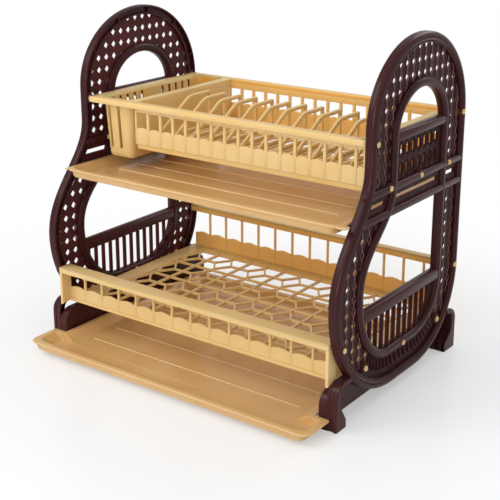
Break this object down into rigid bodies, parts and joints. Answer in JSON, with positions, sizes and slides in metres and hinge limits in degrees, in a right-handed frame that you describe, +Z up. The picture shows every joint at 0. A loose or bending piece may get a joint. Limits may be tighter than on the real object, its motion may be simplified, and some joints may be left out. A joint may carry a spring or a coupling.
{
  "type": "two-tier dish rack",
  "caption": "Two-tier dish rack with perforated side frames, a plate basket with a cutlery trough, a bowl basket and slide-out drip trays.",
  "frame": {"origin": "on the table, under the middle of the overall box of the rack with both trays pushed in", "axes": "+X along the rack to the end without the cutlery trough, +Y from the front to the back, +Z up"},
  "size_m": [0.486, 0.376, 0.466],
  "materials": {
    "frame_plastic": "glossy dark reddish-brown moulded plastic",
    "basket_plastic": "satin cream, slightly translucent moulded plastic",
    "tray_plastic": "glossy tan moulded plastic"
  },
  "bodies": {
    "rack": {"left_side_frame": "frame_plastic", "right_side_frame": "frame_plastic", "left_foot_rail": "frame_plastic", "right_foot_rail": "frame_plastic", "upper_basket": "basket_plastic", "upper_basket_rim": "basket_plastic", "cutlery_trough": "basket_plastic", "lower_basket": "basket_plastic", "plate_divider_01": "basket_plastic", "plate_divider_02": "basket_plastic", "plate_divider_03": "basket_plastic", "plate_divider_04": "basket_plastic", "plate_divider_05": "basket_plastic", "plate_divider_06": "basket_plastic", "plate_divider_07": "basket_plastic", "plate_divider_08": "basket_plastic", "plate_divider_09": "basket_plastic", "plate_divider_10": "basket_plastic", "plate_divider_11": "basket_plastic", "plate_divider_12": "basket_plastic"},
    "upper_tray": {"upper_drip_tray": "tray_plastic"},
    "lower_tray": {"lower_drip_tray": "tray_plastic"}
  },
  "joints": [
    {"name": "upper_tray_slide", "type": "slide", "parent": "rack", "child": "upper_tray", "axis": [0, -1, 0], "range_m": [0, 0.26]},
    {"name": "lower_tray_slide", "type": "slide", "parent": "rack", "child": "lower_tray", "axis": [0, -1, 0], "range_m": [0, 0.28]}
  ]
}
